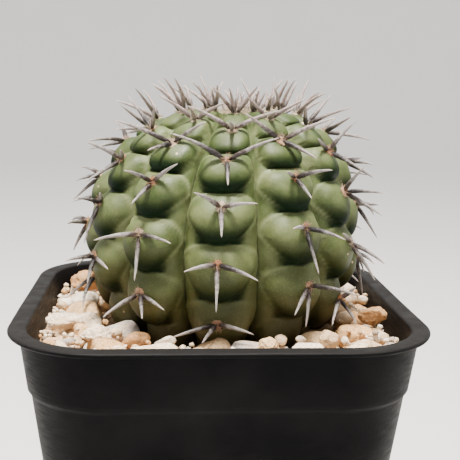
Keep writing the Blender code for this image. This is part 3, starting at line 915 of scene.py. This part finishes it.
class Shader:
    """A short way to write a material's nodes."""

    def __init__(self, name, roughness, **sockets):
        self.material = bpy.data.materials.new(name)
        self.material.use_nodes = True
        self.tree = self.material.node_tree
        self.surface = self.tree.nodes["Principled BSDF"]
        self.surface.inputs["Roughness"].default_value = roughness
        for socket, value in sockets.items():
            self.surface.inputs[socket.replace("_", " ")].default_value = value
        self.place = self.node("TexCoord").outputs["Object"]

    def node(self, kind, settings=None, **sockets):
        made = self.tree.nodes.new("ShaderNode" + kind)
        for key, value in (settings or {}).items():
            setattr(made, key, value)
        for socket, value in sockets.items():
            self.put(made.inputs[socket.replace("_", " ")], value)
        return made

    def put(self, socket, value):
        if isinstance(value, bpy.types.NodeSocket):
            self.tree.links.new(value, socket)
        else:
            socket.default_value = value

    def value(self, name):
        return self.node("Attribute", {"attribute_name": name}).outputs["Fac"]

    def noise(self, scale, detail=4.0, place=None, distortion=0.0):
        made = self.node(
            "TexNoise",
            Vector=place or self.place,
            Scale=scale,
            Detail=detail,
            Distortion=distortion,
        )
        return made.outputs["Fac"]

    def cells(self, scale):
        return self.node("TexVoronoi", Vector=self.place, Scale=scale).outputs["Distance"]

    def math(self, operation, a, b):
        made = self.node("Math", {"operation": operation})
        self.put(made.inputs[0], a)
        self.put(made.inputs[1], b)
        return made.outputs[0]

    def ramp(self, source, *stops):
        """A ramp through stops of (place, number or colour)."""
        made = self.node("ValToRGB", Fac=source)
        points = made.color_ramp.elements
        while len(points) < len(stops):
            points.new(0.5)
        for point, (at, colour) in zip(points, stops):
            point.position = at
            shade = (colour,) * 3 if isinstance(colour, (int, float)) else colour
            point.color = (*shade, 1)
        return made.outputs["Color"]

    def mix(self, factor, a, b, blend="MIX"):
        """Colour a where the factor is 0 and b where it is 1."""
        made = self.node("Mix", {"data_type": "RGBA", "blend_type": blend})
        self.put(made.inputs[0], factor)
        for index, value in ((6, a), (7, b)):
            self.put(made.inputs[index], (*value, 1) if isinstance(value, tuple) else value)
        return made.outputs[2]

    def bump(self, *layers):
        """Layers of (height, depth in metres), laid over each other."""
        normal = None
        for height, depth in layers:
            made = self.node("Bump", Height=height, Distance=depth)
            made.inputs["Strength"].default_value = 1.0
            if normal is not None:
                self.tree.links.new(normal, made.inputs["Normal"])
            normal = made.outputs["Normal"]
        self.tree.links.new(normal, self.surface.inputs["Normal"])

    def colour(self, source):
        self.tree.links.new(source, self.surface.inputs["Base Color"])

    def roughness(self, source):
        self.tree.links.new(source, self.surface.inputs["Roughness"])


def skin_material():
    """Green skin under a pale, finely speckled bloom, corky and yellow near the gravel, with
    painted shade on the chins and a painted highlight along the raised bands.
    """
    s = Shader("cactus_skin", 0.5, Subsurface_Weight=0.06, Subsurface_Scale=0.0015)
    height = s.node("SeparateXYZ", Vector=s.place).outputs["Z"]
    rise = s.node("MapRange", {"clamp": True}, Value=height)
    rise.inputs["From Min"].default_value = STEM_Z + 6 * MM
    rise.inputs["From Max"].default_value = STEM_Z + 40 * MM
    rise = rise.outputs["Result"]
    uneven = s.noise(90, 5)
    green = s.mix(uneven, (0.018, 0.038, 0.005), (0.040, 0.066, 0.010))
    young = s.mix(rise, (0.048, 0.046, 0.006), green)
    # Painted shade: the chins are mixed towards a deep green, as if shaded from the top light.
    chin_shade_paint = s.value("chin_shade_paint")
    chin_shaded = s.mix(s.math("MULTIPLY", chin_shade_paint, 0.95), young, (0.002, 0.0085, 0.0035))
    speckle = s.ramp(s.cells(2600), (0.12, 1.0), (0.30, 0.0))
    patches = s.ramp(s.noise(140, 6), (0.36, 0.15), (0.62, 0.8))
    # The bloom and the speckled dots are held off the painted shade, so the unshaded shoulders
    # stay paler.
    upper = s.math("SUBTRACT", 1.0, chin_shade_paint)
    bloom = s.math("MULTIPLY", patches, s.ramp(rise, (0.0, 0.12), (0.8, 0.8)))
    bloom = s.math("MULTIPLY", bloom, upper)
    pale = s.mix(bloom, chin_shaded, (0.160, 0.185, 0.072))
    dots = s.math("MULTIPLY", speckle, s.ramp(chin_shade_paint, (0.0, 0.16), (0.7, 0.03)))
    dotted = s.mix(dots, pale, (0.34, 0.38, 0.27))
    furrow_and_highlight_lines = s.ramp(s.value("furrow"), (0.92, 0.0), (0.985, 0.45))
    # Painted highlight: a pale line along each knob's raised band, where its arch catches the
    # top light.
    furrow_and_highlight_lines = s.math("MAXIMUM", furrow_and_highlight_lines, s.math("MULTIPLY", s.value("edge"), 0.6))
    furrow_and_highlight_lines = s.math("MULTIPLY", furrow_and_highlight_lines, s.ramp(rise, (0.1, 0.15), (0.8, 1.0)))
    edged = s.mix(furrow_and_highlight_lines, dotted, (0.235, 0.265, 0.125))
    scars = s.ramp(s.cells(165), (0.035, 1.0), (0.055, 0.0))
    scarred = s.mix(scars, edged, (0.55, 0.42, 0.24))
    low = s.math("ADD", rise, s.math("MULTIPLY", uneven, 0.15))
    corky = s.ramp(low, (0.05, 0.75), (0.45, 0.0))
    s.colour(s.mix(corky, scarred, (0.030, 0.022, 0.010)))
    # The chins' gloss is lowered along with their painted shade.
    gloss = s.ramp(chin_shade_paint, (0.0, 0.30), (0.8, 0.05))
    s.tree.links.new(gloss, s.surface.inputs["Specular IOR Level"])
    s.roughness(s.ramp(s.noise(300, 4), (0.3, 0.42), (0.7, 0.62)))
    s.bump((s.noise(420, 5), 0.00018), (speckle, 0.00002), (s.noise(2600, 3), 0.00004))
    return s.material


def spine_material():
    """Horny grey spines: dark at the foot, streaked along, pale at the tip."""
    s = Shader("spine_horn", 0.55)
    along, tint, young = s.value("along"), s.value("tint"), s.value("young")
    streaks = s.noise(700, 5, distortion=1.5)
    shade = s.mix(tint, (0.21, 0.185, 0.17), (0.10, 0.085, 0.078))
    fresh = s.mix(young, shade, (0.27, 0.185, 0.16))
    streaks = s.ramp(streaks, (0.35, 0.0), (0.65, 1.0))
    streaked = s.mix(s.math("MULTIPLY", streaks, 0.40), fresh, (0.44, 0.40, 0.375))
    foot = s.math("ADD", along, s.math("MULTIPLY", streaks, 0.2))
    foot = s.math("SUBTRACT", foot, s.math("MULTIPLY", tint, 0.28))
    foot = s.math("ADD", foot, s.math("MULTIPLY", young, 0.16))
    foot = s.ramp(foot, (0.20, 1.0), (0.56, 0.0))
    brown = s.mix(tint, (0.030, 0.012, 0.007), (0.006, 0.004, 0.004))
    dark = s.mix(foot, streaked, brown)
    tip = s.ramp(along, (0.72, 0.0), (1.0, 0.75))
    s.colour(s.mix(tip, dark, (0.50, 0.42, 0.37)))
    s.roughness(s.ramp(streaks, (0.3, 0.42), (0.7, 0.68)))
    s.bump((streaks, 0.00012), (s.noise(3500, 3), 0.00003))
    return s.material


def wool_material():
    """Cream felt, orange brown on some of the pads."""
    s = Shader("areole_wool", 0.95, Sheen_Weight=0.3)
    tint, orange = s.value("tint"), s.value("orange")
    base = s.mix(tint, (0.30, 0.22, 0.13), (0.62, 0.52, 0.38))
    warm = s.mix(orange, base, (0.36, 0.10, 0.015))
    s.colour(s.mix(s.math("MULTIPLY", s.noise(900, 4), 0.3), warm, (0.40, 0.29, 0.18)))
    s.bump((s.noise(2200, 4), 0.0002))
    return s.material


def stone_material(name, colours):
    """Porous stone: each one has its own shade, with grains, pits and stains."""
    s = Shader(name, 0.9)
    own = s.ramp(s.value("tint"), (0.0, colours[0]), (0.5, colours[1]), (1.0, colours[2]))
    stains = s.ramp(s.noise(160, 6), (0.45, 0.0), (0.72, 0.7))
    stained = s.mix(stains, own, (0.58, 0.36, 0.18))
    grains = s.ramp(s.noise(1500, 5), (0.35, 0.75), (0.65, 1.12))
    grained = s.mix(1.0, stained, grains, "MULTIPLY")
    pits = s.ramp(s.cells(1400), (0.10, 1.0), (0.24, 0.0))
    s.colour(s.mix(s.math("MULTIPLY", pits, 0.6), grained, (0.22, 0.14, 0.08)))
    s.roughness(s.ramp(s.noise(500, 3), (0.3, 0.78), (0.7, 0.97)))
    s.bump((s.noise(450, 6), 0.0006), (s.noise(2200, 4), 0.00018), (pits, -0.00015))
    return s.material


def pot_material():
    """Black moulded plastic with a fine grain, patchy dust, painted light on its upper faces
    and faint marks.
    """
    s = Shader("black_pot_plastic", 0.5, Specular_IOR_Level=0.045)
    facing = s.node("NewGeometry").outputs["Normal"]
    # Painted light: faces that turn up to the top light are made paler, on top of the patchy
    # dust.
    painted_top_light = s.ramp(s.node("SeparateXYZ", Vector=facing).outputs["Z"], (0.05, 0.0), (0.6, 0.35))
    dust_and_top_light = s.ramp(s.noise(60, 8), (0.45, 0.0), (0.8, 0.2))
    dust_and_top_light = s.math("MAXIMUM", dust_and_top_light, painted_top_light)
    s.colour(s.mix(dust_and_top_light, (0.0014, 0.0014, 0.0017), (0.030, 0.028, 0.027)))
    stretched = s.node("Mapping", Vector=s.place)
    stretched.inputs["Scale"].default_value = (1.0, 1.0, 12.0)
    marks = s.noise(260, 4, stretched.outputs["Vector"])
    s.roughness(s.ramp(marks, (0.3, 0.42), (0.7, 0.62)))
    s.bump((s.noise(1800, 3), 0.00004), (marks, 0.00003), (s.noise(35, 2), 0.0006))
    return s.material


def soil_material():
    """Dark crumbs of peat with a few straw-coloured ones."""
    s = Shader("potting_mix_peat", 0.97)
    crumbs = s.noise(420, 8)
    dark, brown, straw = (0.018, 0.012, 0.008), (0.07, 0.045, 0.028), (0.2, 0.15, 0.1)
    s.colour(s.ramp(crumbs, (0.3, dark), (0.6, brown), (0.8, straw)))
    s.bump((crumbs, 0.001), (s.cells(900), 0.0004))
    return s.material


def floor_material():
    """Matt, pale and nearly even."""
    s = Shader("studio_floor", 0.75)
    s.colour(s.mix(s.noise(9, 3), (0.70, 0.69, 0.67), (0.74, 0.73, 0.71)))
    s.bump((s.noise(500, 3), 0.00005))
    return s.material


# ---------------------------------------------------------------- studio


def make_floor():
    """A pale round floor whose edge curves up into a low wall on every side."""
    flat, curve, height = 1.2, 0.8, 1.6
    steps, sides = 16, 96
    profile = [(radius, 0.0) for radius in (0.02, 0.3, 0.8, flat)]
    for step in range(1, steps + 1):
        angle = step / steps * math.pi / 2
        rise = curve - curve * math.cos(angle)
        profile.append((flat + curve * math.sin(angle), rise))
    profile.append((flat + curve, height))
    turns = np.arange(sides) * 2 * np.pi / sides
    verts = []
    for radius, z in profile:
        verts += [(radius * math.cos(a), radius * math.sin(a), z) for a in turns]
    faces = [tuple(range(sides))]
    for ring in range(len(profile) - 1):
        for i in range(sides):
            a, b = ring * sides + i, ring * sides + (i + 1) % sides
            faces.append((a, a + sides, b + sides, b))
    mesh = bpy.data.meshes.new("studio_floor")
    mesh.from_pydata(verts, [], faces)
    mesh.shade_smooth()
    mesh.materials.append(floor_material())
    floor = bpy.data.objects.new("studio_floor", mesh)
    bpy.context.scene.collection.objects.link(floor)


def soft_box(name, place, aim, size, power, colour):
    """A round lamp at a place, turned to its aim."""
    data = bpy.data.lights.new(name, "AREA")
    data.shape = "DISK"
    data.size = size
    data.energy = power
    data.color = colour
    lamp = bpy.data.objects.new(name, data)
    lamp.location = place
    lamp.rotation_euler = (Vector(aim) - Vector(place)).to_track_quat("-Z", "Y").to_euler()
    bpy.context.scene.collection.objects.link(lamp)


def make_lights():
    middle = (0, 0, RIM_Z + 10 * MM)
    soft_box("top_light", (-0.03, -0.09, 0.61), middle, 0.12, 12.0, (1.0, 0.96, 0.90))
    soft_box("front_fill", (0.25, -0.70, 0.40), middle, 0.60, 0.4, (0.95, 0.97, 1.0))
    soft_box("left_fill", (-0.70, -0.10, 0.35), middle, 0.50, 0.4, (1.0, 1.0, 1.0))
    for side in range(4):
        x, y = math.cos(side * math.pi / 2), math.sin(side * math.pi / 2)
        place, aim = (0.9 * x, 0.9 * y, 2.2), (1.7 * x, 1.7 * y, 0.5)
        soft_box(f"wall_light_{side + 1}", place, aim, 1.2, 24.0, (1.0, 1.0, 1.0))
    world = bpy.data.worlds.new("studio")
    world.use_nodes = True
    background = world.node_tree.nodes["Background"]
    background.inputs["Color"].default_value = (0.90, 0.92, 0.95, 1)
    background.inputs["Strength"].default_value = 0.08
    bpy.context.scene.world = world


def make_camera():
    """Looks along +Y, a little to the right and down, with a slight roll.

    A scratch program fitted its lens, angles and place to the rim in the photograph.
    """
    data = bpy.data.cameras.new("camera")
    data.sensor_width = 36.0
    data.lens = 69.3
    data.clip_start = 0.01
    camera = bpy.data.objects.new("camera", data)
    pan, pitch, roll = (math.radians(a) for a in (4.52, 9.74, 1.12))
    turn = Matrix.Rotation(-pan, 3, "Z") @ Matrix.Rotation(math.pi / 2 - pitch, 3, "X")
    camera.matrix_world = (turn @ Matrix.Rotation(roll, 3, "Z")).to_4x4()
    camera.location = (-12.96 * MM, -207.6 * MM, RIM_Z + 52.1 * MM)
    bpy.context.scene.collection.objects.link(camera)
    bpy.context.scene.camera = camera


# ---------------------------------------------------------------- the scene


def dress_soil():
    """The potting mix keeps its CAD shape and gets its own material."""
    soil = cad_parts["potting_mix"]
    soil.data.materials.clear()
    soil.data.materials.append(soil_material())


make_camera()
make_floor()
make_lights()
make_pot()
dress_soil()
make_gravel()
make_skin()
make_ribs()
